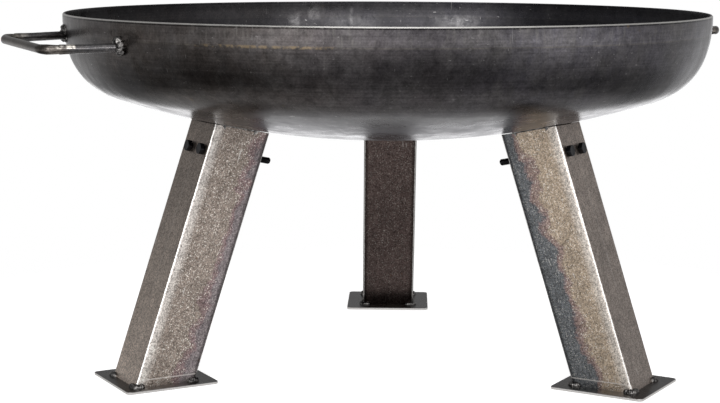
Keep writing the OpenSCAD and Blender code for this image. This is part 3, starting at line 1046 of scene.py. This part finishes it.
def floor_shader(name, start, end):
    """A floor material that fades out between two distances from the middle."""
    s = Shader(name, metallic=0.0)
    s.place = s.new("ShaderNodeTexCoord").outputs["Object"]
    length = s.new("ShaderNodeVectorMath", operation="LENGTH")
    s.put(length.inputs[0], s.place)
    s.set(alpha=s.span(length.outputs["Value"], start, end, 1.0, 0.0, smooth=True))
    return s


def build_floor():
    """A white round floor that fades out at its edge, so that no horizon shows. What the steel
    mirrors is a second, dimmer disc."""
    seen = floor_shader("floor_paint", 0.48, 0.78)
    seen.set(base_color=(0.93, 0.93, 0.93), roughness=0.9)
    seen.set(emission_color=(1.0, 1.0, 1.0), emission_strength=FLOOR_LIFT)
    floor = disc("floor", FLOOR_R, -0.0002, seen.mat)
    floor.visible_glossy = False
    mirrored = floor_shader("floor_mirrored", 0.44, 0.62)
    mirrored.set(base_color=(0.0, 0.0, 0.0), roughness=1.0)
    mirrored.set(emission_color=(1.0, 1.0, 1.0), emission_strength=FLOOR_MIRRORED)
    under = disc("floor_mirrored", MIRRORED_R, -0.0006, mirrored.mat)
    under.visible_camera = False
    under.visible_diffuse = False
    under.visible_shadow = False


build_floor()

world = bpy.data.worlds.new("studio")
bpy.context.scene.world = world
world.use_nodes = True
sky = Nodes(world.node_tree)
sky.place = sky.new("ShaderNodeTexCoord").outputs["Generated"]
sky_z = sky.axis(2)
sky_turn = sky.math("MULTIPLY", sky.math("ARCTAN2", sky.axis(1), sky.axis(0)), 180 / math.pi)


def sky_ramp(source, low, high, stops):
    """Brightness over source, straight from stop to stop. It may go up to 4."""
    ramp = sky.new("ShaderNodeValToRGB")
    sky.put(ramp.inputs[0], sky.span(source, low, high))
    for i, (place, value) in enumerate(stops):
        at = (place - low) / (high - low)
        ends = {0: 0, len(stops) - 1: -1}
        marks = ramp.color_ramp.elements
        mark = marks[ends[i]] if i in ends else marks.new(at)
        mark.position = at
        mark.color = (value / 4, value / 4, value / 4, 1)
    return sky.math("MULTIPLY", ramp.outputs[0], 4.0)


# the studio's brightness by height, and then by compass angle (the camera stands at -90)
LEVELS = [(-1.0, 0.50), (-0.70, 0.45), (-0.56, 0.50), (-0.44, 0.80), (-0.34, 1.50), (-0.26, 1.85)]
LEVELS += [(-0.16, 1.70), (-0.02, 1.25), (0.15, 0.80), (0.5, 0.75), (1.0, 0.90)]
ROUND = [(-180, 0.34), (-160, 0.30), (-146, 0.42), (-130, 0.95), (-98, 1.0), (-90, 0.70), (-80, 0.60)]
ROUND += [(-68, 0.56), (-48, 0.60), (-32, 1.05), (-18, 0.90), (0, 0.50), (30, 0.38), (60, 0.45)]
ROUND += [(80, 0.38), (100, 0.38), (120, 0.36), (150, 0.34), (180, 0.34)]
# soft boxes: compass angle, half width, height (sine), half height, brightness
BOXES = [(-125, 7, 0.26, 0.08, 1.3), (-55, 7, 0.28, 0.08, 1.3), (-90, 45, 0.82, 0.13, 1.0)]
BOXES += [(90, 16, -0.26, 0.20, 1.15)]
shine = sky.math("MULTIPLY", sky_ramp(sky_z, -1.0, 1.0, LEVELS), sky_ramp(sky_turn, -180, 180, ROUND))
for angle, half, height, tall, value in BOXES:
    box = sky.between(sky_turn, angle - half, angle + half, 4.0)
    box = sky.math("MULTIPLY", box, sky.between(sky_z, height - tall, height + tall, 0.04))
    shine = sky.math("ADD", shine, sky.math("MULTIPLY", box, value))
lit = sky.new("ShaderNodeBackground")
sky.put(lit.inputs["Strength"], shine)
lit.inputs["Color"].default_value = (1.0, 1.0, 1.01, 1)
seen = sky.new("ShaderNodeBackground")
seen.inputs["Color"].default_value = (1, 1, 1, 1)
both = sky.new("ShaderNodeMixShader")
sky.put(both.inputs[0], sky.new("ShaderNodeLightPath").outputs["Is Camera Ray"])
sky.put(both.inputs[1], lit.outputs[0])
sky.put(both.inputs[2], seen.outputs[0])
sky.put(sky.new("ShaderNodeOutputWorld").inputs[0], both.outputs[0])


def area_light(name, place, target, size, power):
    data = bpy.data.lights.new(name, "AREA")
    data.shape = "RECTANGLE"
    data.size, data.size_y = size
    data.energy = power
    light = bpy.data.objects.new(name, data)
    bpy.context.scene.collection.objects.link(light)
    light.location = place
    light.rotation_euler = (Vector(target) - Vector(place)).to_track_quat("-Z", "Y").to_euler()


area_light("front", (0, -2.8, 1.35), (0, 0, 0.25), (5.0, 1.1), 45)

CAMERA_SPIN = math.radians(0.72)
DISTANCE = 2.154
CAMERA_Z = 0.5177
PITCH = math.radians(-8.52)
YAW = math.radians(-0.87)
ROLL = math.radians(0.20)
forward = Vector((math.sin(YAW) * math.cos(PITCH), math.cos(YAW) * math.cos(PITCH), math.sin(PITCH)))
right = Vector((math.cos(YAW), -math.sin(YAW), 0))
up = right.cross(forward)
x_axis = right * math.cos(ROLL) + up * math.sin(ROLL)
y_axis = -right * math.sin(ROLL) + up * math.cos(ROLL)
rotation = Matrix((x_axis, y_axis, -forward)).transposed().to_4x4()
camera_data = bpy.data.cameras.new("camera")
camera_data.lens = 85.66
camera_data.sensor_width = 36
camera_data.clip_start = 0.05
camera_data.clip_end = 50
camera = bpy.data.objects.new("camera", camera_data)
bpy.context.scene.collection.objects.link(camera)
station = Matrix.Rotation(CAMERA_SPIN, 4, "Z") @ Matrix.Translation((0, -DISTANCE, CAMERA_Z))
camera.matrix_world = station @ rotation
bpy.context.scene.camera = camera

bpy.context.scene.view_settings.view_transform = "Standard"
bpy.context.scene.view_settings.look = "None"
